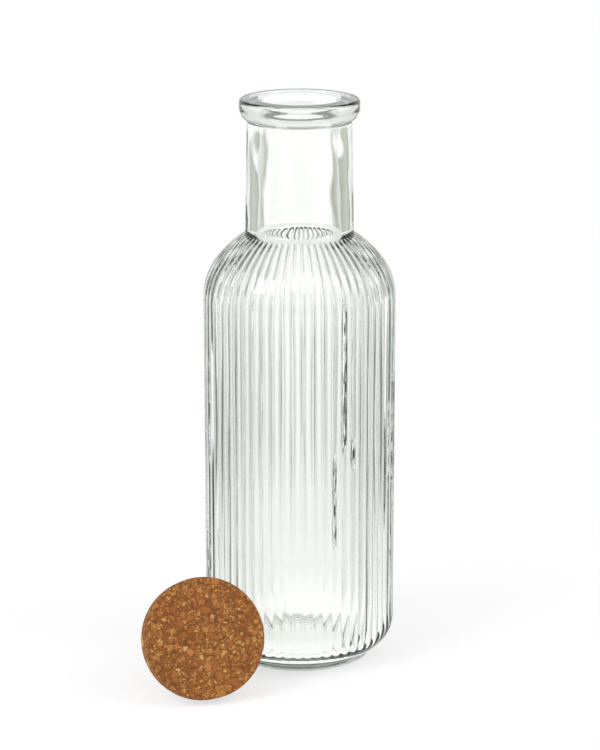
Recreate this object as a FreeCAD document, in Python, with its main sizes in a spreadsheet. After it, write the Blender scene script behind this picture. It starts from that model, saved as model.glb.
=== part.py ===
import FreeCAD, Part
import math
import os

import Sketcher

# A clear pressed-glass bottle of about one litre with upright ribs, and its one-piece cork lid, which
# lies on its side in front of it. Millimetres, +Z up, the front towards -Y. The origin is on the
# bottle's axis, in the plane that its foot stands on.

SIZES = {
    # The outside of the bottle, over the crests of its ribs.
    "total_height": 268.0,
    "body_radius": 45.0,
    "foot_inset": 11.5,
    "foot_width": 3.0,
    "foot_height": 1.5,
    "heel_radius": 15.5,
    "heel_slope": 37.0,
    "shoulder_radius": 29.0,
    "crown_radius": 56.0,
    "shoulder_turn": 39.0,
    "neck_length": 53.0,
    "neck_base_radius": 25.4,
    "neck_top_radius": 24.4,
    # The thick ring round the mouth.
    "ring_radius": 28.0,
    "ring_height": 10.1,
    "ring_under_radius": 6.5,
    "ring_edge_radius": 1.6,
    "lip_radius": 2.0,
    # The hollow.
    "bore_radius": 17.8,
    "bore_base_radius": 19.4,
    "throat_radius": 7.0,
    "wall": 3.8,
    "inner_heel_radius": 12.0,
    "base_thickness": 6.0,
    "push_up": 3.0,
    # The ribs, and the grooves that part them.
    "rib_count": 60,
    "rib_depth": 0.7,
    "rib_side_radius": 4.0,
    "groove_share": 0.93,
    "groove_stop": 0.9,
    "groove_rise": 0.2,
    "groove_lag": 1.5,
    "rib_turn": 2.0,
    # The cork lid: a disc with a tapered plug that fits the mouth.
    "lid_radius": 28.1,
    "lid_thickness": 10.0,
    "lid_edge_radius": 0.8,
    "plug_length": 28.0,
    "plug_clearance": 0.2,
    "plug_taper": 1.6,
    "plug_chamfer": 1.0,
    # Where the lid lies: how far its plug's tip is from the glass, the side on which it lies, in
    # degrees from the front, and how far its face is turned to the right.
    "lid_gap": 1.4,
    "lid_bearing": 57.0,
    "lid_turn": 15.0,
}
CUTTER_RISE = 0.6  # how far the groove cutter stands out of the glass


class Size:
    """A number together with the sheet expression that gives it, so that one sum serves both."""

    def __init__(self, number, text):
        self.number = number
        self.text = text

    def joined(self, other, sign, number):
        return Size(number, f"({self.text} {sign} {other.text})")

    def __add__(self, other):
        return self.joined(other, "+", self.number + other.number)

    def __sub__(self, other):
        return self.joined(other, "-", self.number - other.number)

    def __mul__(self, other):
        return self.joined(other, "*", self.number * other.number)

    def __truediv__(self, other):
        return self.joined(other, "/", self.number / other.number)


def plain(number):
    return Size(float(number), str(number))


def root(size):
    return Size(math.sqrt(size.number), f"sqrt({size.text})")


def sine(angle):
    return Size(math.sin(math.radians(angle.number)), f"sin({angle.text} * 1deg)")


def cosine(angle):
    return Size(math.cos(math.radians(angle.number)), f"cos({angle.text} * 1deg)")


def side_of(hypotenuse, other_side):
    """The third side of a right-angled triangle."""
    return root(hypotenuse * hypotenuse - other_side * other_side)


def sagitta_radius(half_chord, rise):
    """The radius of an arc from half its chord and its rise."""
    return (half_chord * half_chord + rise * rise) / (TWO * rise)


def make_sheet(document):
    """Writes each driving size into a cell of its own, under its name."""
    sheet = document.addObject("Spreadsheet::Sheet", "sizes")
    for row, (name, number) in enumerate(SIZES.items(), start=1):
        sheet.set(f"A{row}", name)
        sheet.set(f"B{row}", str(number))
        sheet.setAlias(f"B{row}", name)
    document.recompute()


def origin_plane(body, role):
    return next(feature for feature in body.Origin.OriginFeatures if feature.Role == role)


def sketch_on(body, name, role):
    """A sketch that lies on one of its own body's origin planes."""
    sketch = body.newObject("Sketcher::SketchObject", name)
    sketch.AttachmentSupport = [(origin_plane(body, role), "")]
    sketch.MapMode = "FlatFace"
    return sketch


def bind(sketch, name, constraint, size):
    """Adds a constraint whose value follows the sheet."""
    index = sketch.addConstraint(constraint)
    sketch.renameConstraint(index, name)
    sketch.setExpression(f"Constraints.{name}", size.text)


def pin_corner(sketch, number, edge, end, corner):
    """Holds the end of an edge at a corner of the outline, on an axis where the corner lies on one."""
    for way, axis, size in (("across", -2, corner[0]), ("up", -1, corner[1])):
        if size.number == 0:
            sketch.addConstraint(Sketcher.Constraint("PointOnObject", edge, end, axis))
            continue
        kind = "DistanceX" if way == "across" else "DistanceY"
        constraint = Sketcher.Constraint(kind, -1, 1, edge, end, size.number)
        bind(sketch, f"{way}_{number}", constraint, size)


def point(corner):
    return FreeCAD.Vector(corner[0].number, corner[1].number, 0)


def add_edge(sketch, number, start, corner, arc):
    """Adds a line, or an arc given by its centre and radius, and says which of its ends comes first."""
    if arc is None:
        return sketch.addGeometry(Part.LineSegment(point(start), point(corner))), 1, 2
    centre = point(arc)
    circle = Part.Circle(centre, FreeCAD.Vector(0, 0, 1), arc[2].number)
    spokes = [point(start) - centre, point(corner) - centre]
    turns_left = spokes[0].cross(spokes[1]).z > 0
    if not turns_left:
        spokes.reverse()
    angles = [math.atan2(spoke.y, spoke.x) for spoke in spokes]
    edge = sketch.addGeometry(Part.ArcOfCircle(circle, *angles))
    bind(sketch, f"bend_{number}", Sketcher.Constraint("Radius", edge, arc[2].number), arc[2])
    return (edge, 1, 2) if turns_left else (edge, 2, 1)


def draw(sketch, start, steps, closed=True):
    """Draws edges from corner to corner. Each step is the next corner and its arc, or None for a line."""
    here, ends = start, []
    for number, (corner, arc) in enumerate(steps, start=1):
        edge, first, last = add_edge(sketch, number, here, corner, arc)
        if ends:
            sketch.addConstraint(Sketcher.Constraint("Coincident", *ends[-1][1], edge, first))
        ends.append(((edge, first), (edge, last)))
        pin_corner(sketch, number, edge, last, corner)
        here = corner
    if closed:
        sketch.addConstraint(Sketcher.Constraint("Coincident", *ends[-1][1], *ends[0][0]))
    else:
        pin_corner(sketch, 0, *ends[0][0], start)


def revolve(body, sketch, name):
    feature = body.newObject("PartDesign::Revolution", name)
    feature.Profile = (sketch, [""])
    feature.ReferenceAxis = (sketch, ["V_Axis"])
    feature.Angle = 360
    return feature


class Shoulder:
    """The two arcs, one tangent to the other, that lead from the body's wall up to the neck.

    The lower one is tangent to the wall. A line parallel to them lies at a depth under the surface.
    A second pair can rise a little higher than the first and turn a little later.
    """

    def __init__(self, size, rise, lag):
        self.size = size
        self.angle = size["shoulder_turn"] + lag
        self.neck_base = size["total_height"] - size["ring_height"] - size["neck_length"]
        step = size["crown_radius"] - size["shoulder_radius"]
        self.low_across = size["body_radius"] - size["shoulder_radius"]
        self.high_across = self.low_across - step * cosine(self.angle)
        above = side_of(size["crown_radius"], size["neck_base_radius"] - self.high_across)
        self.high_up = self.neck_base + rise - above
        self.low_up = self.high_up + step * sine(self.angle)

    def low_arc(self, depth):
        return self.low_across, self.low_up, self.size["shoulder_radius"] - depth

    def high_arc(self, depth):
        return self.high_across, self.high_up, self.size["crown_radius"] - depth

    def foot(self, depth):
        """Where the wall ends and the lower arc starts."""
        return self.size["body_radius"] - depth, self.low_up

    def turn(self, depth):
        """Where the two arcs meet."""
        reach = self.size["shoulder_radius"] - depth
        return self.low_across + reach * cosine(self.angle), self.low_up + reach * sine(self.angle)

    def top(self, depth, across):
        """Where the upper arc reaches a radius."""
        reach = self.size["crown_radius"] - depth
        return across, self.high_up + side_of(reach, across - self.high_across)


def outside(size, shoulder):
    """The outer surface from the foot to the mouth, as steps of the wall's section."""
    slope, bend, body = size["heel_slope"], size["heel_radius"], size["body_radius"]
    foot, ring, top = body - size["foot_inset"], size["ring_radius"], size["total_height"]
    heel_across = body - bend + bend * sine(slope)
    heel_up = size["foot_height"] + (heel_across - foot) * sine(slope) / cosine(slope)
    wall_up = heel_up + bend * cosine(slope)
    under, edge, neck = size["ring_under_radius"], size["ring_edge_radius"], size["neck_top_radius"]
    ring_base = top - size["ring_height"]
    belly = ring_base + side_of(under, neck - (ring - under))
    lip = size["lip_radius"]
    mouth = size["bore_radius"] + lip
    return [
        ((foot, ZERO), None),
        ((foot, size["foot_height"]), None),
        ((heel_across, heel_up), None),
        ((body, wall_up), (body - bend, wall_up, bend)),
        (shoulder.foot(ZERO), None),
        (shoulder.turn(ZERO), shoulder.low_arc(ZERO)),
        ((size["neck_base_radius"], shoulder.neck_base), shoulder.high_arc(ZERO)),
        ((neck, ring_base), None),
        ((ring, belly), (ring - under, belly, under)),
        ((ring, top - edge), None),
        ((ring - edge, top), (ring - edge, top - edge, edge)),
        ((mouth, top), None),
        ((size["bore_radius"], top - lip), (mouth, top - lip, lip)),
    ]


def hollow(size, shoulder, dome_radius):
    """The inner surface from the mouth down to the middle of the floor, as steps of the wall's section."""
    wall, throat, bend = size["wall"], size["throat_radius"], size["inner_heel_radius"]
    crown_across, crown_up, crown = shoulder.high_arc(wall)
    bore = size["bore_base_radius"]
    throat_across = bore + throat - crown_across
    throat_up = side_of(crown + throat, throat_across)
    share = crown / (crown + throat)
    floor = dome_radius + size["base_thickness"]
    dome_up = size["push_up"] - dome_radius
    heel_across = size["body_radius"] - wall - bend
    heel_up = side_of(floor + bend, heel_across)
    floor_share = floor / (floor + bend)
    return [
        ((bore, crown_up + throat_up), None),
        (
            (crown_across + throat_across * share, crown_up + throat_up * share),
            (bore + throat, crown_up + throat_up, throat),
        ),
        (shoulder.turn(wall), shoulder.high_arc(wall)),
        (shoulder.foot(wall), shoulder.low_arc(wall)),
        ((size["body_radius"] - wall, dome_up + heel_up), None),
        (
            (heel_across * floor_share, dome_up + heel_up * floor_share),
            (heel_across, dome_up + heel_up, bend),
        ),
        ((ZERO, size["push_up"] + size["base_thickness"]), (ZERO, dome_up, floor)),
    ]


def glass_wall(body, size, shoulder):
    """The smooth bottle: its wall's section, turned about the axis. It stands on a flat ring."""
    foot_inside = size["body_radius"] - size["foot_inset"] - size["foot_width"]
    dome_radius = sagitta_radius(foot_inside, size["push_up"])
    start = (ZERO, size["push_up"])
    under = [((foot_inside, ZERO), (ZERO, size["push_up"] - dome_radius, dome_radius))]
    steps = under + outside(size, shoulder) + hollow(size, shoulder, dome_radius) + [(start, None)]
    section = sketch_on(body, "wall_section", "XZ_Plane")
    draw(section, start, steps)
    return revolve(body, section, "smooth_wall")


def groove_section(body, size):
    """The cutter's section: a cusp between the round sides of two neighbouring ribs.

    It is as wide as the ribs allow at the neck, where they lie closest.
    """
    radius, depth, side = size["body_radius"], size["rib_depth"], size["rib_side_radius"]
    closest = size["neck_base_radius"] + size["groove_stop"]
    half_width = closest * plain(math.pi) / size["rib_count"] * size["groove_share"]
    chord = root(half_width * half_width + depth * depth)
    away = side_of(side, chord / TWO) / chord
    centre_across = radius - depth / TWO - away * half_width
    centre_aside = half_width / TWO + away * depth
    outer = radius + plain(CUTTER_RISE)
    section = sketch_on(body, "groove_section", "XY_Plane")
    apex = (radius - depth, ZERO)
    steps = [
        ((radius, half_width), (centre_across, centre_aside, side)),
        ((outer, half_width), None),
        ((outer, ZERO - half_width), None),
        ((radius, ZERO - half_width), None),
        (apex, (centre_across, ZERO - centre_aside, side)),
    ]
    draw(section, apex, steps)
    return section


def grooves(body, size):
    """Cuts the grooves: each runs straight up the wall, follows the shoulder and stops at the neck.

    At the bottom the heel curves in past the groove, which runs out there. Up the shoulder the groove
    grows shallower, as the ribs draw together.
    """
    depth = size["rib_depth"]
    shoulder = Shoulder(size, size["groove_rise"], size["groove_lag"])
    path = sketch_on(body, "groove_path", "XZ_Plane")
    stop = size["neck_base_radius"] + size["groove_stop"]
    steps = [
        (shoulder.foot(depth), None),
        (shoulder.turn(depth), shoulder.low_arc(depth)),
        (shoulder.top(depth, stop), shoulder.high_arc(depth)),
    ]
    draw(path, (size["body_radius"] - depth, ZERO), steps, closed=False)
    groove = body.newObject("PartDesign::SubtractivePipe", "groove")
    groove.Profile = (groove_section(body, size), [""])
    groove.Spine = (path, ["Edge1", "Edge2", "Edge3"])
    ring = body.newObject("PartDesign::PolarPattern", "all_grooves")
    ring.Originals = [groove]
    ring.Axis = (origin_plane(body, "Z_Axis"), [""])
    ring.Angle = 360
    ring.setExpression("Occurrences", size["rib_count"].text)
    body.Tip = ring


def make_bottle(document, size):
    body = document.addObject("PartDesign::Body", "bottle")
    smooth = glass_wall(body, size, Shoulder(size, ZERO, ZERO))
    document.recompute()
    grooves(body, size)
    document.recompute()
    if not body.Shape.Volume < smooth.Shape.Volume:
        raise RuntimeError("the grooves cut nothing")
    turn = FreeCAD.Rotation(FreeCAD.Vector(0, 0, 1), SIZES["rib_turn"])
    body.Placement = FreeCAD.Placement(FreeCAD.Vector(0, 0, 0), turn)
    document.recompute()
    return body


def make_lid(document, size):
    """The cork lid, a disc and a plug in one piece, turned about its own axis and then laid down."""
    body = document.addObject("PartDesign::Body", "cork_lid")
    radius, edge, thickness = size["lid_radius"], size["lid_edge_radius"], size["lid_thickness"]
    plug_root = size["bore_radius"] - size["plug_clearance"]
    plug_tip = plug_root - size["plug_taper"]
    length, chamfer = size["plug_length"], size["plug_chamfer"]
    section = sketch_on(body, "lid_section", "XZ_Plane")
    start = (ZERO, ZERO - length)
    steps = [
        ((plug_tip - chamfer, ZERO - length), None),
        ((plug_tip, chamfer - length), None),
        ((plug_root, ZERO), None),
        ((radius - edge, ZERO), None),
        ((radius, edge), (radius - edge, edge, edge)),
        ((radius, thickness - edge), None),
        ((radius - edge, thickness), (radius - edge, thickness - edge, edge)),
        ((ZERO, thickness), None),
        (start, None),
    ]
    draw(section, start, steps)
    revolve(body, section, "turned_cork")
    body.Placement = lid_placement(plug_tip.number)
    document.recompute()
    return body


def lid_placement(plug_tip):
    """Lays the lid on its disc's lower edge and its plug's tip, beside the bottle and clear of it."""
    edge, length = SIZES["lid_edge_radius"], SIZES["plug_length"]
    drop = SIZES["lid_radius"] - edge - plug_tip
    run = length - SIZES["plug_chamfer"] + edge
    lean = math.atan2(drop, run) + math.asin(edge / math.hypot(drop, run))
    reach = SIZES["lid_radius"] - edge
    height = edge + reach * math.cos(lean) - edge * math.sin(lean)
    turn, bearing = math.radians(SIZES["lid_turn"]), math.radians(SIZES["lid_bearing"])
    from_axis = SIZES["body_radius"] + SIZES["lid_gap"] + plug_tip
    forward = length * math.cos(lean)
    across = forward * math.sin(turn) - from_axis * math.sin(bearing)
    along = -forward * math.cos(turn) - from_axis * math.cos(bearing)
    tip_over = FreeCAD.Rotation(FreeCAD.Vector(1, 0, 0), 90 - math.degrees(lean))
    turn_round = FreeCAD.Rotation(FreeCAD.Vector(0, 0, 1), SIZES["lid_turn"])
    return FreeCAD.Placement(FreeCAD.Vector(across, along, height), turn_round.multiply(tip_over))


def check(document, bodies):
    """Stops if any object failed or a piece isn't one valid solid."""
    for item in document.Objects:
        if "Invalid" in item.State or "Error" in item.State:
            raise RuntimeError(f"{item.Name} failed: {item.State}")
    for body in bodies:
        shape = body.Shape
        if shape.isNull() or not shape.isValid() or len(shape.Solids) != 1:
            raise RuntimeError(f"{body.Label} isn't one valid solid")
        box = shape.BoundBox
        print(f"{body.Label}: {shape.Volume / 1000:.1f} cm3, {len(shape.Faces)} faces,", end=" ")
        print(f"{box.XLength:.1f} x {box.YLength:.1f} x {box.ZLength:.1f} mm, from z {box.ZMin:.2f}")


ZERO, TWO = plain(0), plain(2)

model = FreeCAD.newDocument("ribbed_bottle")
make_sheet(model)
sizes = {name: Size(number, f"sizes.{name}") for name, number in SIZES.items()}
pieces = [make_bottle(model, sizes), make_lid(model, sizes)]
check(model, pieces)
os.makedirs("parts", exist_ok=True)
for piece in pieces:
    piece.Shape.exportStep(f"parts/{piece.Label}.step")
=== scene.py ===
# %% [markdown]
# # A ribbed glass bottle and its cork lid
# The object is a one-litre bottle of pressed and blown glass, with sixty upright ribs on its
# body, and a lid of agglomerated cork that lies beside it. The lesson builds both as surfaces
# worked out with numpy, inside the box of a CAD model that is loaded first and never changed.
# Every length is in metres.

# %% Load the CAD frame
import math
import bpy
import numpy as np
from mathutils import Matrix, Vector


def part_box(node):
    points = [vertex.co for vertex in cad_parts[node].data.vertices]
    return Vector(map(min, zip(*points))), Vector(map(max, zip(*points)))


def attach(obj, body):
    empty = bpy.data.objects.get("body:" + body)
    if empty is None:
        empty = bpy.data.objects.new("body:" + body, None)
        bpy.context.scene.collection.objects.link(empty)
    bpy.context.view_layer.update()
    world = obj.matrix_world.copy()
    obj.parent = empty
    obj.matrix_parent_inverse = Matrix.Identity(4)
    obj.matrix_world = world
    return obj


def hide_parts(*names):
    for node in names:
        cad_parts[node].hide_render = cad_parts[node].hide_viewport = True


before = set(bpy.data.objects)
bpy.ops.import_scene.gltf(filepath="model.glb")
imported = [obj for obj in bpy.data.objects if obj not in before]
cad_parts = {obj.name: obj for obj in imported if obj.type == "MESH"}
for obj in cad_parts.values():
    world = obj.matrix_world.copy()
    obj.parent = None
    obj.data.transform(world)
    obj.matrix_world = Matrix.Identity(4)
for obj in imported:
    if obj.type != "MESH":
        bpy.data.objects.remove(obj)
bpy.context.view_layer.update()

bottle_low, bottle_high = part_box("bottle")
lid_low, lid_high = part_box("cork_lid")
MM = 0.001
print("bottle", [round(c, 4) for c in (*bottle_low, *bottle_high)])
print("lid", [round(c, 4) for c in (*lid_low, *lid_high)])

# %% [markdown]
# ## Camera
# A long lens from about a metre and a third away keeps the bottle's sides nearly parallel. The
# camera looks down a little, so that the mouth and the foot both show as ellipses. The numbers
# are a place, a tilt and a lens, because these three are what a real tripod sets.

# %% Set up the camera
bpy.context.scene.view_settings.view_transform = "Standard"
CAMERA_PLACE = (0.0002, -1.3163, 0.4932)
LOOK_DOWN = 15.18  # degrees below level
camera_data = bpy.data.cameras.new("tripod_camera")
camera_data.lens = 138.8
camera_data.sensor_width = 36.0
camera_data.clip_start = 0.05
camera = bpy.data.objects.new("tripod_camera", camera_data)
camera.location = CAMERA_PLACE
camera.rotation_euler = (math.radians(90 - LOOK_DOWN), 0.0, 0.0)
bpy.context.scene.collection.objects.link(camera)
bpy.context.scene.camera = camera
print("camera", [round(c, 3) for c in camera.location], "lens", camera_data.lens)

# %% [markdown]
# ## Shader sums
# A material is a graph of nodes, and long sums of Math nodes are hard to read. This small class
# wraps one socket, so that an expression such as `1 - mask * 0.5` adds the Math nodes by itself.
# Colours go through Mix nodes instead, because a Math node would turn them grey.

# %% A socket that does arithmetic
class Wire:
    """One output socket. An arithmetic expression on wires adds the Math nodes that work it out."""

    def __init__(self, graph, socket):
        self.graph, self.socket = graph, socket

    def sum(self, operation, *values):
        return self.graph.add("ShaderNodeMath", {"operation": operation}, dict(enumerate(values)))

    def __add__(self, other): return self.sum("ADD", self, other)
    def __radd__(self, other): return self.sum("ADD", other, self)
    def __sub__(self, other): return self.sum("SUBTRACT", self, other)
    def __rsub__(self, other): return self.sum("SUBTRACT", other, self)
    def __mul__(self, other): return self.sum("MULTIPLY", self, other)
    def __rmul__(self, other): return self.sum("MULTIPLY", other, self)
    def __truediv__(self, other): return self.sum("DIVIDE", self, other)
    def larger(self, other): return self.sum("MAXIMUM", self, other)
    def clamped(self): return self.sum("MINIMUM", self.sum("MAXIMUM", self, 0.0), 1.0)


class Graph:
    """The node tree of a material or of the world. Every node comes from its one method, add."""

    def __init__(self, owner):
        owner.use_nodes = True
        self.tree = owner.node_tree
        self.tree.nodes.clear()

    def add(self, kind, settings, inputs, output=0):
        """Adds a node: first its settings, then a value or a wire for each named socket, or
        numbered one."""
        node = self.tree.nodes.new(kind)
        for name, value in settings.items():
            if name == "stops":
                self.set_stops(node.color_ramp, value)
            else:
                setattr(node, name, value)
        for name, value in inputs.items():
            socket = node.inputs[name]
            if isinstance(value, Wire):
                self.tree.links.new(value.socket, socket)
            else:
                socket.default_value = value
        return Wire(self, node.outputs[output]) if node.outputs else None

    def set_stops(self, ramp, stops):
        """Gives a colour ramp its stops, each a place and a colour."""
        while len(ramp.elements) < len(stops):
            ramp.elements.new(1.0)
        for element, (place, colour) in zip(ramp.elements, stops):
            element.position = place
            element.color = (*colour, 1.0)

    def mix(self, share, first, second, blend="MIX"):
        """Mixes two colours."""
        settings = {"data_type": "RGBA", "blend_type": blend}
        return self.add("ShaderNodeMix", settings, {0: share, 6: first, 7: second}, output=2)

    def surface(self, shader, volume=None):
        """Ends a material's graph with its surface and, if there is one, its volume."""
        inputs = {"Surface": shader}
        if volume is not None:
            inputs["Volume"] = volume
        self.add("ShaderNodeOutputMaterial", {}, inputs)


def new_material(name):
    """An empty material and its graph."""
    material = bpy.data.materials.new(name)
    return material, Graph(material)

# %% [markdown]
# ## Floor and studio
# Clear glass has almost no colour of its own: it shows its surroundings, bent. So the studio is
# part of the look. The floor is pale, catches a faint soft shadow and fades to plain white a
# short way out. Seen through the glass it is a touch darker nearby, painted shade as a real table
# is away from its lamps. That tone depends on the distance from the bottle, and painted shade of
# the grey cards that come later is drawn in at equal steps round it, as if their feet reached in.

# %% Make the floor
def disc_sheet(name, radius, count, height):
    """A flat round sheet: a middle point and a ring of points at equal angles."""
    angle = np.arange(count) * 2 * np.pi / count
    ring = np.stack([radius * np.cos(angle), radius * np.sin(angle), np.full(count, height)], 1)
    points = np.vstack([[[0.0, 0.0, height]], ring])
    second = np.arange(count) + 1
    faces = np.stack([np.zeros(count, int), second, np.roll(second, -1)], 1)
    mesh = bpy.data.meshes.new(name)
    mesh.from_pydata(points.tolist(), [], faces.tolist())
    item = bpy.data.objects.new(name, mesh)
    bpy.context.scene.collection.objects.link(item)
    return item


def ray_kind(graph, name):
    """1 for rays of one kind, such as those that the glass lets through, and 0 for the others."""
    return graph.add("ShaderNodeLightPath", {}, {}, output=name)


def card_mask(graph, place, start, soft, cards):
    """1 in the middle of each card and 0 in the gaps: minus the cosine of the angle times the
    number of cards, less a start, divided by the width of the soft edge, and kept in 0 to 1."""
    x = graph.add("ShaderNodeSeparateXYZ", {}, {0: place}, output="X")
    y = graph.add("ShaderNodeSeparateXYZ", {}, {0: place}, output="Y")
    wave = x.sum("COSINE", x.sum("ARCTAN2", y, x) * cards)
    return ((0.0 - wave - start) / soft).clamped()


CARDS = 8
CARD_START, CARD_SOFT = 0.45, 0.4  # where a card's edge starts, and how soft it is
FLOOR_RADIUS, FLOOR_DROP = 4.0, 0.00005  # the drop keeps it clear of the foot ring
LEAST_WHITE, SHADED_REACH = 0.66, 0.08  # the white share, and how far out it starts to grow
TONE_REACH = 1.6  # metres from the axis to the far end of the ramp of tones
CARD_FOOT_IN, CARD_FOOT_OUT = 0.13, 0.27  # metres from the axis
floor = disc_sheet("floor", FLOOR_RADIUS, 96, -FLOOR_DROP)
paint, graph = new_material("pale_floor")
place = graph.add("ShaderNodeTexCoord", {}, {}, output="Object")
away = graph.add("ShaderNodeVectorMath", {"operation": "LENGTH"}, {0: place}, output="Value")
matt = graph.add("ShaderNodeBsdfDiffuse", {}, {"Color": (0.97, 0.965, 0.975, 1.0)})
white = graph.add("ShaderNodeEmission", {}, {"Color": (1, 1, 1, 1), "Strength": 1.0})
fade = (LEAST_WHITE + (away - SHADED_REACH) / 0.35).larger(LEAST_WHITE).clamped()
mirrored = (ray_kind(graph, "Is Camera Ray") + ray_kind(graph, "Is Glossy Ray")).clamped()
plain_view = graph.add("ShaderNodeMixShader", {}, {0: fade * mirrored, 1: matt, 2: white})
painted_floor_shades = [
    (0.00, (0.95, 0.96, 0.93)), (0.04, (0.88, 0.89, 0.87)), (0.08, (0.73, 0.75, 0.73)),
    (0.13, (0.76, 0.78, 0.77)), (0.20, (0.77, 0.80, 0.80)), (0.28, (0.78, 0.81, 0.81)),
    (0.36, (0.83, 0.86, 0.85)), (0.50, (0.90, 0.91, 0.89)), (0.60, (0.92, 0.93, 0.92)),
]
stops = {"stops": painted_floor_shades}
tone = graph.add("ShaderNodeValToRGB", stops, {0: away / TONE_REACH}, output="Color")
# Painted card shade: the floor seen through the glass is darkened in card-shaped sectors between
# 0.13 and 0.27 m from the axis.
rise = ((away - CARD_FOOT_IN) / 0.13).clamped()
inner_share = rise * ((CARD_FOOT_OUT - away) / 0.01).clamped()
painted_card_shade = card_mask(graph, place, CARD_START, CARD_SOFT, CARDS) * inner_share
tone = graph.mix(painted_card_shade * 0.5, tone, (0.29, 0.31, 0.27, 1.0))
bent_view = graph.add("ShaderNodeEmission", {}, {"Color": tone, "Strength": 1.3})
share = ray_kind(graph, "Is Transmission Ray") * 0.92
graph.surface(graph.add("ShaderNodeMixShader", {}, {0: share, 1: plain_view, 2: bent_view}))
floor.data.materials.append(paint)
print("floor", FLOOR_RADIUS, "m round, tones out to", TONE_REACH * painted_floor_shades[-1][0], "m")

# %% [markdown]
# ## Lights
# Everything round the object is plain white where it is looked at, which gives the white
# background. The ceiling is dark for the glass alone: the ring at the mouth and the heel bend it
# into their grey edges. Two soft square lamps, the left one stronger, light the cork and the
# floor, and give the faint shadow.

# %% Light the studio
ROOM_LIGHT = 0.74
CEILING_START, CEILING_SOFT = 0.22, 0.30  # sines of the height above level
world = bpy.data.worlds.new("studio")
bpy.context.scene.world = world
graph = Graph(world)
direct = ray_kind(graph, "Is Camera Ray") + ray_kind(graph, "Is Glossy Ray")
seen = (direct + ray_kind(graph, "Is Transmission Ray")).clamped()
room = graph.add("ShaderNodeBackground", {}, {"Color": (1, 1, 1, 1), "Strength": ROOM_LIGHT})
way = graph.add("ShaderNodeTexCoord", {}, {}, output="Generated")
lift = graph.add("ShaderNodeSeparateXYZ", {}, {0: way}, output="Z")
ceiling = ((lift - CEILING_START) / CEILING_SOFT).clamped()
ceiling = ceiling * (1 - ray_kind(graph, "Is Camera Ray"))
tone = graph.mix(ceiling, (1.0, 1.0, 1.0, 1.0), (0.26, 0.28, 0.27, 1.0))
sweep = graph.add("ShaderNodeBackground", {}, {"Color": tone, "Strength": 1.0})
both = graph.add("ShaderNodeMixShader", {}, {0: seen, 1: room, 2: sweep})
graph.add("ShaderNodeOutputWorld", {}, {"Surface": both})


def soft_lamp(name, place, width, watts):
    """A square lamp that faces the middle of the bottle."""
    lamp = bpy.data.lights.new(name, "AREA")
    lamp.shape, lamp.size, lamp.energy = "SQUARE", width, watts
    item = bpy.data.objects.new(name, lamp)
    item.location = place
    target = Vector((0.0, 0.0, 0.1)) - Vector(place)
    item.rotation_euler = target.to_track_quat("-Z", "Y").to_euler()
    bpy.context.scene.collection.objects.link(item)


LAMP_WIDTH = 0.9
soft_lamp("left_softbox", (-1.1, -0.9, 1.3), LAMP_WIDTH, 15)
soft_lamp("right_softbox", (1.2, -0.4, 1.1), LAMP_WIDTH, 9)
print("lamps", [light.name for light in bpy.data.lights])

# %% [markdown]
# ## Grey cards
# In a studio for glass, dark cards stand just outside the view. The glass bends them into the
# grey lines that give clear ribs their edges. Here a thin round screen carries eight upright
# cards with soft edges, at equal steps, and the gaps between them are open. Higher up, where the
# screen is seen through the neck, there are five broader and paler cards, because the thick wall
# of a neck bends light much further than the ribs do. The camera and the lamps don't see the
# screen. The cards on one side are a cooler grey, on the other a warmer one, as walls of a real
# room would be.

# %% Stand the cards round the bottle
def round_screen(name, radius, height, count):
    """An open round wall: two rings of points at equal angles, joined by upright faces."""
    angle = np.arange(count) * 2 * np.pi / count
    x, y = radius * np.cos(angle), radius * np.sin(angle)
    low = np.stack([x, y, np.full(count, 0.001)], 1)
    high = np.stack([x, y, np.full(count, height)], 1)
    here = np.arange(count)
    beside = np.roll(here, -1)
    faces = np.stack([here, beside, beside + count, here + count], 1)
    mesh = bpy.data.meshes.new(name)
    mesh.from_pydata(np.vstack([low, high]).tolist(), [], faces.tolist())
    item = bpy.data.objects.new(name, mesh)
    bpy.context.scene.collection.objects.link(item)
    return item


SCREEN_RADIUS, SCREEN_HEIGHT = 0.26, 0.55
NECK_CARDS = (47.5, 133.0, 222.5, 272.5, 357.5)  # bearings in degrees
NECK_CARD_EDGE = math.cos(math.radians(24))  # half a neck card's width
NECK_CARD_RIM = math.cos(math.radians(18))  # where its darker border starts
LOW_TOP, NECK_LOW, NECK_HIGH = 0.165, 0.135, 0.214  # heights where the cards end, in metres
screen = round_screen("card_screen", SCREEN_RADIUS, SCREEN_HEIGHT, 192)
paint, graph = new_material("grey_cards")
place = graph.add("ShaderNodeTexCoord", {}, {}, output="Object")
x = graph.add("ShaderNodeSeparateXYZ", {}, {0: place}, output="X")
y = graph.add("ShaderNodeSeparateXYZ", {}, {0: place}, output="Y")
z = graph.add("ShaderNodeSeparateXYZ", {}, {0: place}, output="Z")
low_part = (0.5 + z / 0.06).clamped() * ((LOW_TOP - z) / 0.08).clamped()
neck_part = ((z - NECK_LOW) / 0.015).clamped() * ((NECK_HIGH - z) / 0.008).clamped()
card = card_mask(graph, place, CARD_START, CARD_SOFT, CARDS) * low_part
for bearing in np.radians(NECK_CARDS).tolist():
    toward = (x * math.cos(bearing) + y * math.sin(bearing)) / SCREEN_RADIUS
    broad = ((toward - NECK_CARD_EDGE) / 0.038).clamped()
    border = (1 - (toward - NECK_CARD_RIM) / 0.02).clamped()
    card = card.larger(broad * neck_part * (0.76 + 0.24 * border))
cool, warm = (0.36, 0.385, 0.33, 1.0), (0.39, 0.385, 0.31, 1.0)
side = (x / (2 * SCREEN_RADIUS) + 0.5).clamped()
tone = graph.mix(side, cool, warm)
core = card_mask(graph, place, 0.80, 0.2, CARDS) * low_part * (1 - neck_part)
tone = graph.mix(core, tone, (0.11, 0.12, 0.11, 1.0))
grey = graph.add("ShaderNodeEmission", {}, {"Color": tone, "Strength": 1.0})
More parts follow.
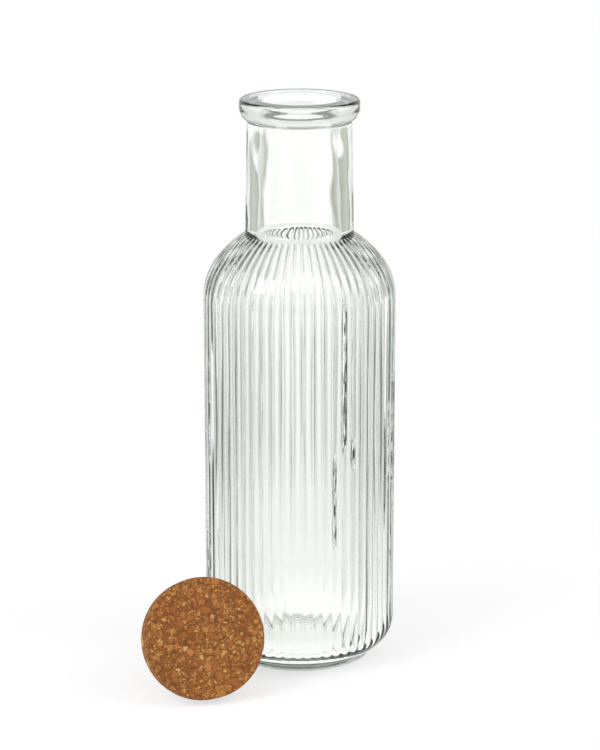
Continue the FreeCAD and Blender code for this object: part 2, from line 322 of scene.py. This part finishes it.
gap = graph.add("ShaderNodeBsdfTransparent", {}, {})
graph.surface(graph.add("ShaderNodeMixShader", {}, {0: card * 0.95, 1: gap, 2: grey}))
screen.data.materials.append(paint)
screen.visible_camera = False
screen.visible_diffuse = False
screen.visible_shadow = False
print("cards", CARDS, "low and", len(NECK_CARDS), "for the neck, at", SCREEN_RADIUS, "m")

# %% [markdown]
# ## The bottle's section
# A bottle is blown in a mould, and the mould is turned, so one section drawn from the foot to the
# mouth and down the inside gives the whole smooth shape. The section is a list of points worked
# out from lines and arcs, each arc meeting the next without a corner. The sizes are those of the
# CAD model.

# %% Work out the outer section
def arc(across, up, radius, start, stop, count):
    """Points on a circle about (across, up): the radius times the cosine and sine of angles in
    degrees at equal steps, the last one left out."""
    angle = np.radians(np.linspace(start, stop, count, endpoint=False))
    return np.stack([across + radius * np.cos(angle), up + radius * np.sin(angle)], 1)


def line(first, last, count):
    """Points at equal steps from the first point, the last one left out."""
    share = np.linspace(0, 1, count, endpoint=False)[:, None]
    return np.array(first) * (1 - share) + np.array(last) * share


HEIGHT, BODY, FOOT = 268.0, 45.0, 33.5  # mm: the height, and the body's and the foot's radius
FOOT_UP = 1.5  # where the slope above the foot starts
HEEL, SLOPE = 15.5, 37.0  # the heel arc's radius, and the slope in degrees where it starts
heel_across = BODY - HEEL + HEEL * math.sin(math.radians(SLOPE))
heel_up = FOOT_UP + (heel_across - FOOT) * math.tan(math.radians(SLOPE))
wall_up = heel_up + HEEL * math.cos(math.radians(SLOPE))
LOW_ARC, HIGH_ARC, TURN = 29.0, 56.0, 39.0  # the shoulder's two radii, meeting at 39 degrees
NECK_BASE_UP, NECK_BASE = 204.9, 25.4  # where the neck starts: its height and radius
low_across = BODY - LOW_ARC
high_across = low_across - (HIGH_ARC - LOW_ARC) * math.cos(math.radians(TURN))
high_up = NECK_BASE_UP - math.sqrt(HIGH_ARC**2 - (NECK_BASE - high_across) ** 2)
low_up = high_up + (HIGH_ARC - LOW_ARC) * math.sin(math.radians(TURN))
neck_turn = math.degrees(math.acos((NECK_BASE - high_across) / HIGH_ARC))
print("heel", round(heel_across, 2), round(heel_up, 2))
print("wall from", round(wall_up, 2), "to", round(low_up, 2))

PUSH_UP, FOOT_IN = 3.0, 30.5  # how far the base is pushed up, and the foot ring's inner radius
INNER_EDGE, OUTER_EDGE = 0.5, 0.6  # the foot ring's two roundings
dome = (FOOT_IN**2 + PUSH_UP**2) / (2 * PUSH_UP)
dome_turn = math.degrees(math.asin(FOOT_IN / dome))
under = arc(0, PUSH_UP - dome, dome, 90 - dome_turn / 12, 90 - dome_turn, 12)
foot_in = arc(FOOT_IN + INNER_EDGE, INNER_EDGE, INNER_EDGE, 180, 270, 4)
foot_out = arc(FOOT - OUTER_EDGE, OUTER_EDGE, OUTER_EDGE, -90, 0, 4)
foot_top = arc(FOOT + 0.3, 1.3, 0.3, 180, 127, 3)
slope = line((FOOT + 0.2, 1.6), (heel_across, heel_up), 8)
base = np.vstack([under, foot_in, foot_out, foot_top, slope])
heel = arc(BODY - HEEL, wall_up, HEEL, SLOPE - 90, 0, 32)
wall = line((BODY, wall_up), (BODY, low_up), 4)
low_shoulder = arc(low_across, low_up, LOW_ARC, 0, TURN, 14)
high_shoulder = arc(high_across, high_up, HIGH_ARC, TURN, neck_turn, 18)
ribbed = np.vstack([heel, wall, low_shoulder, high_shoulder, [[NECK_BASE, NECK_BASE_UP]]])
print("base rows", len(base), "ribbed rows", len(ribbed))

# %% [markdown]
# ## Ribs
# The ribs are cut in the mould, so the glass has sixty round ribs with a narrow groove between
# each two. The shape is a dip below the section, worked out for every point from its angle and
# its place along the section. It grows with the square of the way from a rib's crest to its
# groove, whose bottom is rounded, and it fades out at the neck. At the heel, where the mould's
# bottom plate starts, the ribs grow shallow and run out into a plain band that lies a tenth of a
# millimetre lower.

# %% Work out the dip of every ribbed point
RIBS, RIB_DEPTH, RIB_TURN = 60, 0.7, math.radians(-88.0)
GROOVE_ROUNDING, PLAIN_BAND = 0.02, 0.1
NECK_FADE, HEEL_FADE, SHALLOW_REACH = 1.1, 8.0, 18.0  # mm along the section
FINE, COARSE = 720, 240  # points round the ribs and round the smooth parts


def smooth_step(value, start, stop):
    """A smooth rise from 0 to 1 between two values: three times the square less twice the cube."""
    share = np.clip((value - start) / (stop - start), 0, 1)
    return share * share * (3 - 2 * share)


def path_length(section):
    """The distance along a section from its first point to each point."""
    steps = np.hypot(*np.diff(section, axis=0).T)
    return np.concatenate([[0], np.cumsum(steps)])


def outward(section):
    """The unit normal of a section at each point, to the right of the way it runs."""
    way = np.gradient(section, axis=0)
    way /= np.hypot(way[:, 0], way[:, 1])[:, None]
    return np.stack([way[:, 1], -way[:, 0]], 1)


def rib_phase(angle):
    """Where an angle lies across its rib: 0 at the crest, 1 at the groove on either side."""
    turn = (angle - RIB_TURN) * RIBS / (2 * np.pi)
    return np.abs(2 * (turn - np.floor(turn)) - 1)


def rib_dip(section, angle):
    """How far below the section each point lies: the square of the phase, with the groove rounded,
    times a depth that shrinks with the ribs' pitch and towards the heel and fades out at the neck;
    and at the foot it changes smoothly to the plain band."""
    phase = rib_phase(angle)[None, :]
    across = 1 - np.sqrt((1 - phase) ** 2 + GROOVE_ROUNDING**2)
    bowl = across * across
    along = path_length(section)[:, None]
    left = along[-1:] - along
    depth = RIB_DEPTH * (section[:, :1] / BODY) ** 0.7 * smooth_step(left, 0.0, NECK_FADE)
    ended = 1 - smooth_step(along, 0.5, HEEL_FADE + phase**2)
    shallow = 0.25 + 0.75 * smooth_step(along, 1.0, SHALLOW_REACH)
    return depth * shallow * bowl * (1 - ended) + PLAIN_BAND * ended


fine_angle = np.arange(FINE) * 2 * np.pi / FINE
coarse_angle = np.arange(COARSE) * 2 * np.pi / COARSE
dip = rib_dip(ribbed, fine_angle)
facing = outward(ribbed)
ribbed_across = ribbed[:, :1] - facing[:, :1] * dip
ribbed_up = ribbed[:, 1:] - facing[:, 1:] * dip
print("ribbed points", ribbed_across.shape, "deepest", round(float(dip.max()), 2), "mm")

# %% [markdown]
# ## Neck and ring
# The neck ends in a thick ring with a rounded mouth. Both are turned shapes, so their section is
# one more chain of lines and arcs. The neck's outer face is straight, but its rows lie close
# together at both ends, where it meets a bend, because smooth shading would carry the bend's tone
# far along a long face.

# %% Work out the neck's and the ring's section
NECK_TOP, RING, RING_HEIGHT, MOUTH, BORE = 24.4, 28.0, 10.1, 19.8, 17.8
BELLY, RING_EDGE, LIP = 6.5, 1.6, 2  # radii of the ring's underside, its top edge and its mouth
NECK_ROWS = [0, 1, 2, 4, 8, 24, 48, 72, 96, 120, 144, 152, 156, 158, 159]  # out of 160
ring_base = HEIGHT - RING_HEIGHT
belly = ring_base + math.sqrt(BELLY**2 - (NECK_TOP - (RING - BELLY)) ** 2)
belly_turn = math.degrees(math.acos((NECK_TOP - (RING - BELLY)) / BELLY))
neck = line((NECK_BASE - 0.01, NECK_BASE_UP + 0.3), (NECK_TOP, ring_base - 0.4), 160)[NECK_ROWS]
under_ring = arc(RING - BELLY, belly, BELLY, -belly_turn, 0, 12)
ring_side = line((RING, belly), (RING, HEIGHT - RING_EDGE), 4)
ring_edge = arc(RING - RING_EDGE, HEIGHT - RING_EDGE, RING_EDGE, 0, 90, 8)
ring_top = line((RING - RING_EDGE, HEIGHT), (MOUTH, HEIGHT), 4)
lip = arc(MOUTH, HEIGHT - LIP, LIP, 90, 180, 8)
upper = np.vstack([neck, under_ring, ring_side, ring_edge, ring_top, lip])
print("upper rows", len(upper))

# %% [markdown]
# ## The hollow
# The inner face follows the outer one at the wall's thickness, with the same middles for its
# arcs, so only the radii change. A small arc leads from the shoulder into the bore, which narrows
# a little to the mouth, and the floor bulges up as the base does.

# %% Work out the hollow's section
WALL, THROAT, BORE_BASE, INNER_HEEL, FLOOR = 3.8, 7.0, 19.4, 12.0, 6.0
inner_high = HIGH_ARC - WALL
throat_across = BORE_BASE + THROAT
throat_up = high_up + math.sqrt((inner_high + THROAT) ** 2 - (throat_across - high_across) ** 2)
meet = math.degrees(math.atan2(throat_up - high_up, throat_across - high_across))
bore = line((BORE, HEIGHT - LIP), (BORE_BASE, throat_up), 30)
throat = arc(throat_across, throat_up, THROAT, 180, 180 + meet, 10)
inner_crown = arc(high_across, high_up, inner_high, meet, TURN, 12)
inner_low = arc(low_across, low_up, LOW_ARC - WALL, TURN, 0, 12)
inner_dome = dome + FLOOR
dome_up = PUSH_UP - dome
heel_in = BODY - WALL - INNER_HEEL
heel_in_up = dome_up + math.sqrt((inner_dome + INNER_HEEL) ** 2 - heel_in**2)
inner_wall = line((BODY - WALL, low_up), (BODY - WALL, heel_in_up), 26)
heel_meet = math.degrees(math.atan2(heel_in_up - dome_up, heel_in))
inner_heel = arc(heel_in, heel_in_up, INNER_HEEL, 0, heel_meet - 180, 12)
inner_floor = arc(0, dome_up, inner_dome, heel_meet, 89.7, 12)
inside = np.vstack([bore, throat, inner_crown, inner_low, inner_wall, inner_heel, inner_floor])
print("inner rows", len(inside))

# %% [markdown]
# ## Slow waves
# Inside, the glass was shaped by air and not by the mould, so its inner face is never true: it
# wanders by a few tenths of a millimetre. Those slow waves are what makes real glass look wet.
# They are sums of a few cosines of angle and height, which close up round the bottle because each
# turn count is whole.

# %% Let the inner face wander
def waves(angle, up):
    """Slow unevenness in mm: a sum of cosines, each of a number of turns and a share of the height,
    one sum for the neck and one for the body, each faded out at its ends."""
    neck_share = smooth_step(up, 196, 214) * (1 - smooth_step(up, 250, 262))
    body_share = smooth_step(up, 18, 40) * (1 - smooth_step(up, 175, 198))
    neck_sum = (
        0.12 * np.cos(3 * angle + 0.05 * up + 0.9)
        + 0.08 * np.cos(5 * angle - 0.11 * up + 2.0)
        + 0.05 * np.cos(8 * angle + 0.19 * up)
        + 0.04 * np.cos(2 * angle + 0.30 * up + 1.1)
    )
    body_sum = (
        0.10 * np.cos(7 * angle + 0.031 * up + 0.4)
        + 0.07 * np.cos(13 * angle - 0.045 * up + 1.7)
        + 0.05 * np.cos(22 * angle + 0.07 * up)
    )
    return neck_share * neck_sum + body_share * body_sum


wander = waves(coarse_angle[None, :], inside[:, 1:])
inner_facing = outward(inside)
inner_across = inside[:, :1] + inner_facing[:, :1] * wander
inner_up = inside[:, 1:] + inner_facing[:, 1:] * wander
print("inner waves from", round(float(wander.min()), 2), "to", round(float(wander.max()), 2), "mm")

# %% [markdown]
# ## One closed skin
# The whole bottle is one skin: out from the middle of the underside, up the outside, over the
# lip, down the bore and in to the middle of the floor. Rows of points are turned round the axis
# and joined to the next row. The ribs need three times as many points round as the smooth parts,
# so two rows of six-sided faces change the count. A single point closes each end.

# %% Join the rows into a mesh
def turned(across, up, angle):
    """Points of rows turned round the axis: across times the cosine and the sine of the angle, at
    height up."""
    across = np.broadcast_to(across, (len(across), len(angle)))
    up = np.broadcast_to(up, (len(up), len(angle)))
    return np.stack([across * np.cos(angle), across * np.sin(angle), up], 2)


def quads(first, rows, count):
    """Four-sided faces between rows of one count: each point, the one beside it, and the two above
    them, numbered from the first point."""
    row = first + np.arange(rows - 1)[:, None] * count
    here = np.arange(count)[None, :]
    beside = np.roll(np.arange(count), -1)[None, :]
    above = row + count
    return np.stack([row + here, row + beside, above + beside, above + here], 2).reshape(-1, 4)


def change_count(coarse_first, fine_first, coarse_count, upward):
    """Six-sided faces between a coarse row and one with three times its points: two coarse points
    and the four fine ones beside them."""
    here = np.arange(coarse_count)
    beside = np.roll(here, -1)
    fine = [fine_first + (3 * here + k) % (3 * coarse_count) for k in range(4)]
    coarse = [coarse_first + here, coarse_first + beside]
    if upward:
        return np.stack([coarse[0], coarse[1], fine[3], fine[2], fine[1], fine[0]], 1)
    return np.stack([fine[0], fine[1], fine[2], fine[3], coarse[1], coarse[0]], 1)


def skin(name, points, groups):
    """Makes a mesh object, in metres, from points in mm and groups of faces with equal corners."""
    mesh = bpy.data.meshes.new(name)
    corners = np.concatenate([g.ravel() for g in groups])
    totals = np.concatenate([np.full(len(g), g.shape[1]) for g in groups])
    mesh.vertices.add(len(points))
    mesh.vertices.foreach_set("co", (points * MM).ravel())
    mesh.loops.add(len(corners))
    mesh.loops.foreach_set("vertex_index", corners)
    mesh.polygons.add(len(totals))
    mesh.polygons.foreach_set("loop_start", np.concatenate([[0], np.cumsum(totals)[:-1]]))
    mesh.polygons.foreach_set("loop_total", totals)
    mesh.polygons.foreach_set("use_smooth", np.ones(len(totals), bool))
    mesh.update(calc_edges=True)
    mesh.validate()
    item = bpy.data.objects.new(name, mesh)
    bpy.context.scene.collection.objects.link(item)
    return item


def fan(pole, first, count, upward):
    """Triangles that close a row on one point."""
    here = first + np.arange(count)
    beside = first + np.roll(np.arange(count), -1)
    pole = np.full(count, pole)
    return np.stack([pole, beside, here] if upward else [pole, here, beside], 1)


# %% [markdown]
# ## The bottle put together
# Seven groups of faces make the skin: a fan at the base's middle, the base, the change to the
# ribs' finer count, the ribs, the change back, everything from the neck over the mouth to the
# floor inside, and a last fan. All face outwards. The piece is then hung under the root body,
# and the CAD bottle is hidden.

# %% Make the bottle's skin
base_rows = turned(base[:, :1], base[:, 1:], coarse_angle)
rib_rows = turned(ribbed_across, ribbed_up, fine_angle)
upper_rows = turned(upper[:, :1], upper[:, 1:], coarse_angle)
inner_points = turned(inner_across, inner_up, coarse_angle)
smooth_rows = np.concatenate([upper_rows, inner_points])
points = np.concatenate([
    [[0.0, 0.0, PUSH_UP]],
    base_rows.reshape(-1, 3),
    rib_rows.reshape(-1, 3),
    smooth_rows.reshape(-1, 3),
    [[0.0, 0.0, PUSH_UP + FLOOR]],
])
rib_first = 1 + len(base_rows) * COARSE
smooth_first = rib_first + len(rib_rows) * FINE
groups = [
    fan(0, 1, COARSE, True),
    quads(1, len(base_rows), COARSE),
    change_count(rib_first - COARSE, rib_first, COARSE, True),
    quads(rib_first, len(rib_rows), FINE),
    change_count(smooth_first, smooth_first - FINE, COARSE, False),
    quads(smooth_first, len(smooth_rows), COARSE),
    fan(len(points) - 1, len(points) - 1 - COARSE, COARSE, False),
]
glass = skin("glass_bottle", points, groups)
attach(glass, "root")
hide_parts("bottle")
triangles = sum(len(p) * (p.shape[1] - 2) for p in groups)
print("glass points", len(points), "triangles", triangles)

# %% [markdown]
# ## Glass
# Soda glass is clear with a trace of green from iron, seen only where the light goes a long way
# through it. So the surface is plain clear glass apart from painted streaks, and its green is in
# the volume: the longer the way, the more it absorbs. A faint unevenness of the surface, as a
# bump, makes the edges of the lines waver. Blown glass also has a few upright folds inside, each a
# narrow band crumpled by one noise as a bump. The broken, nearly black lines that such folds show
# by bending dark things are painted shade: a second noise, drawn out upwards, leaves thin painted
# black flecks in the glass's colour along each fold.

# %% Make the glass
# Each fold: its bearing in degrees, its low and high end and its half width in metres.
CREASES = [
    (-62.2, 0.108, 0.182, 0.0011), (-56.0, 0.100, 0.116, 0.0009),
    (-68.5, 0.062, 0.110, 0.0008), (-8.0, 0.085, 0.140, 0.0014),
    (-176.0, 0.060, 0.115, 0.0013), (-4.0, 0.030, 0.044, 0.0016),
]
OUTER_START, END_FADE = 0.03, 0.01  # metres from the axis, and along a fold
# Nearly black: the colour of the painted dark streaks along the folds.
PAINTED_STREAK_BLACK = (0.004, 0.005, 0.006, 1.0)
paint, graph = new_material("clear_glass")
place = graph.add("ShaderNodeTexCoord", {}, {}, output="Object")


def drawn_noise(around, upright, detail):
    """A noise drawn out upwards: so many cells to a metre across, and so many along the height."""
    squeeze = {"Vector": place, "Scale": (around, around, upright)}
    squeezed = graph.add("ShaderNodeMapping", {}, squeeze)
    settings = {"Vector": squeezed, "Scale": 1.0, "Detail": detail}
    return graph.add("ShaderNodeTexNoise", {}, settings)


ripple = drawn_noise(260.0, 70.0, 1.0)
crumple = drawn_noise(1300.0, 260.0, 2.0)
painted_streak_noise = drawn_noise(2200.0, 150.0, 2.0)
x = graph.add("ShaderNodeSeparateXYZ", {}, {0: place}, output="X")
y = graph.add("ShaderNodeSeparateXYZ", {}, {0: place}, output="Y")
z = graph.add("ShaderNodeSeparateXYZ", {}, {0: place}, output="Z")
fold_and_painted_streak_band = None
for bearing, low, high, width in CREASES:
    east, north = math.cos(math.radians(bearing)), math.sin(math.radians(bearing))
    outer = ((x * east + y * north - OUTER_START) * 1000).clamped()
    sideways = (y * east - x * north) / width
    fold = (1 - sideways * sideways).larger(0.0) * outer
    fold = fold * ((z - low) / END_FADE).clamped() * ((high - z) / END_FADE).clamped()
    fold_and_painted_streak_band = fold if fold_and_painted_streak_band is None else fold_and_painted_streak_band.larger(fold)
height = ripple * 0.12 + fold_and_painted_streak_band * (crumple * 8.0)
bump = graph.add("ShaderNodeBump", {}, {"Strength": 1.0, "Distance": 0.0004, "Height": height})
# Painted shade: thin flecks along the middle of each fold turn the glass's colour nearly black,
# standing in for the dark things a fold bends into view.
painted_streak_mask = ((fold_and_painted_streak_band - 0.30) / 0.2).clamped() * ((painted_streak_noise - 0.475) / 0.03).clamped()
shade = graph.mix(painted_streak_mask, (1.0, 1.0, 1.0, 1.0), PAINTED_STREAK_BLACK)
shader = graph.add("ShaderNodeBsdfPrincipled", {}, {
    "Roughness": 0.0, "IOR": 1.52, "Transmission Weight": 1.0, "Base Color": shade, "Normal": bump,
})
green_tint = {"Color": (0.66, 0.71, 0.63, 1.0), "Density": 28.0}
graph.surface(shader, graph.add("ShaderNodeVolumeAbsorption", {}, green_tint))
glass.data.materials.append(paint)
print("glass with", len(CREASES), "folds,", len(graph.tree.nodes), "nodes")

# %% [markdown]
# ## The cork lid's shape
# The lid is turned from a pressed block of cork grains: a disc that covers the mouth, with a
# tapered plug. It is a turned profile like the glass, made about its own axis first and laid down
# later, with many rows, so that its surface can be worked on.

# %% Turn the lid's profile
LID, THICK, EDGE = 28.1, 10.0, 0.8  # mm: the disc's radius, thickness and edge rounding
PLUG, TIP, ROOT = 28.0, 16.0, 17.6  # the plug's length, and its radius at the tip and the disc
POLE = 0.25  # the first row's radius, round the middle point
AROUND = 288
plug_end = line((POLE, -PLUG), (TIP - 1, -PLUG), 22)
plug_bevel = line((TIP - 1, -PLUG), (TIP, 1 - PLUG), 3)
plug_side = line((TIP, 1 - PLUG), (ROOT, 0), 36)
back = line((ROOT, 0), (LID - EDGE, 0), 14)
edge_back = arc(LID - EDGE, EDGE, EDGE, -90, 0, 5)
rim = line((LID, EDGE), (LID, THICK - EDGE), 14)
edge_front = arc(LID - EDGE, THICK - EDGE, EDGE, 0, 90, 5)
face = line((LID - EDGE, THICK), (POLE, THICK), 42)
profile = np.vstack([plug_end, plug_bevel, plug_side, back, edge_back, rim, edge_front, face])
lid_angle = np.arange(AROUND) * 2 * np.pi / AROUND
print("lid rows", len(profile), "plug", PLUG, "mm")

# %% [markdown]
# ## Pits in the cork
# Cork crumbles where it is cut, so the surface has small pits in it. Each pit is where the
# surface passes through a ball, and the points inside a ball are moved in, along the profile's
# normal. That never moves a point outwards.

# %% Press pits into the lid
def pits(points, count, seed):
    """How deep each point lies in a pit, 0 to 1: one, less the square of its distance from the
    middle of a ball over the square of the ball's radius, the largest over all balls. The balls
    have seeded places and sizes."""
    chance = np.random.default_rng(seed)
    middle = chance.uniform([-29, -29, -29], [29, 29, 11], (count, 3))
    reach = chance.uniform(0.5, 1.5, count)
    flat = points.reshape(-1, 3)
    deepest = np.zeros(len(flat))
    for part in np.array_split(np.arange(count), 40):
        span = flat[:, None, :] - middle[None, part, :]
        near = 1 - (span**2).sum(2) / reach[part] ** 2
        deepest = np.maximum(deepest, near.max(1))
    return np.clip(deepest, 0, 1).reshape(points.shape[:2])


PIT_DEPTH, PITS, PIT_SEED = 0.35, 1600, 7
cork_facing = outward(profile)
sink = PIT_DEPTH * pits(turned(profile[:, :1], profile[:, 1:], lid_angle), PITS, PIT_SEED)
sunk_across = profile[:, :1] - cork_facing[:, :1] * sink
sunk_up = profile[:, 1:] - cork_facing[:, 1:] * sink
cork_rows = turned(sunk_across, sunk_up, lid_angle)
print("pits", PITS, "deepest", round(float(sink.max()), 2), "mm")

# %% [markdown]
# ## The lid laid down
# A lid like this lies on two points: the rim of its disc and the tip of its plug. So it leans
# back by the angle whose tangent comes from the drop between the two and the way from one to the
# other. Two plain turns, one back and one round the upright, place every point, and the mesh
# itself stays unrotated.

# %% Lay the lid down
LID_GAP = 1.4  # mm between the wall and the plug's tip circle
LID_TURN, LID_BEARING = math.radians(15), math.radians(57)
drop = LID - EDGE - TIP
run = PLUG - 1 + EDGE
lean = math.atan2(drop, run) + math.asin(EDGE / math.hypot(drop, run))
up = EDGE + (LID - EDGE) * math.cos(lean) - EDGE * math.sin(lean)
from_axis = BODY + LID_GAP + TIP
forward = PLUG * math.cos(lean)
across = forward * math.sin(LID_TURN) - from_axis * math.sin(LID_BEARING)
along = -forward * math.cos(LID_TURN) - from_axis * math.cos(LID_BEARING)
tip_over = math.radians(90) - lean
tilt = np.array([
    [1, 0, 0],
    [0, math.cos(tip_over), -math.sin(tip_over)],
    [0, math.sin(tip_over), math.cos(tip_over)],
])
round_z = np.array([
    [math.cos(LID_TURN), -math.sin(LID_TURN), 0],
    [math.sin(LID_TURN), math.cos(LID_TURN), 0],
    [0, 0, 1],
])
cork_points = np.concatenate([[[0, 0, -PLUG]], cork_rows.reshape(-1, 3), [[0, 0, THICK]]])
cork_points = cork_points @ (round_z @ tilt).T + np.array([across, along, up])
cork_groups = [
    fan(0, 1, AROUND, True),
    quads(1, len(profile), AROUND),
    fan(len(cork_points) - 1, len(cork_points) - 1 - AROUND, AROUND, False),
]
cork = skin("cork_lid_grain", cork_points, cork_groups)
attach(cork, "root")
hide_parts("cork_lid")
low, high = cork_points.min(0) * MM, cork_points.max(0) * MM
off_box = np.abs(np.concatenate([low - lid_low, high - lid_high])).max()
print("lid off its CAD box by", off_box.round(5), "m")

# %% [markdown]
# ## Cork
# Pressed cork is made of grains of many sizes glued together, each cut at another angle, so each
# has its own brown. Two Voronoi patterns give a coarse and a fine set of grains; a noise bends
# their edges, and some coarse grains stay whole while the others break into fine ones. The joints
# between grains are darker and lower. A few grains are pale or yellowish.

# %% Make the cork
paint, graph = new_material("pressed_cork")
place = graph.add("ShaderNodeTexCoord", {}, {}, output="Object")
EDGE_BEND = 0.0028  # metres
noise = {"Vector": place, "Scale": 520.0, "Detail": 4.0}
bend = graph.add("ShaderNodeTexNoise", {}, noise, output="Color")
bend = graph.add("ShaderNodeVectorMath", {"operation": "SUBTRACT"}, {0: bend, 1: (0.5, 0.5, 0.5)})
bend = graph.add("ShaderNodeVectorMath", {"operation": "SCALE"}, {0: bend, "Scale": EDGE_BEND})
bent = graph.add("ShaderNodeVectorMath", {"operation": "ADD"}, {0: place, 1: bend})


def grains(scale):
    """Two chance values for each grain, and how far in from its grain's edge a point lies: the
    distance over the joint's width, no more than 1."""
    cell = {"Vector": bent, "Scale": scale, "Randomness": 1.0}
    colour = graph.add("ShaderNodeTexVoronoi", {"feature": "F1"}, cell, output="Color")
    chance = graph.add("ShaderNodeSeparateColor", {}, {0: colour}, output="Red")
    other = graph.add("ShaderNodeSeparateColor", {}, {0: colour}, output="Green")
    to_edge = {"feature": "DISTANCE_TO_EDGE"}
    edge = graph.add("ShaderNodeTexVoronoi", to_edge, cell, output="Distance")
    return chance, other, (edge / JOINT_WIDTH).clamped()


JOINT_WIDTH = 0.10  # in grains
coarse_chance, coarse_other, coarse_edge = grains(290.0)
fine_chance, _, fine_edge = grains(760.0)
whole = ((coarse_other - 0.76) / 0.04).clamped()
chance = coarse_chance * whole + fine_chance * (1 - whole)
joint = coarse_edge * fine_edge.larger(whole)
browns = [
    (0.00, (0.215, 0.066, 0.010)), (0.25, (0.295, 0.102, 0.019)), (0.55, (0.355, 0.136, 0.029)),
    (0.78, (0.430, 0.182, 0.047)), (0.93, (0.525, 0.262, 0.078)), (1.00, (0.600, 0.370, 0.130)),
]
JOINT_BROWN = (0.110, 0.031, 0.005, 1.0)
brown = graph.add("ShaderNodeValToRGB", {"stops": browns}, {0: chance}, output="Color")
mottle = graph.add("ShaderNodeTexNoise", {}, {"Vector": place, "Scale": 1500.0, "Detail": 3.0})
dull, bright = (0.76, 0.72, 0.66, 1.0), (1.16, 1.16, 1.16, 1.0)
speck = graph.mix((mottle * 1.6 - 0.3).clamped(), dull, bright)
brown = graph.mix(1.0, brown, speck, "MULTIPLY")
brown = graph.mix((1 - joint) * 0.80, brown, JOINT_BROWN)
height = joint * 0.6 + chance * 0.25 + mottle * 0.15
bump = graph.add("ShaderNodeBump", {}, {"Strength": 0.5, "Distance": 0.0003, "Height": height})
rough = 0.72 + 0.16 * chance
shader = graph.add("ShaderNodeBsdfPrincipled", {}, {
    "Base Color": brown, "Roughness": rough, "Normal": bump, "Specular IOR Level": 0.3,
})
graph.surface(shader)
cork.data.materials.append(paint)
print("cork with", len(graph.tree.nodes), "nodes")
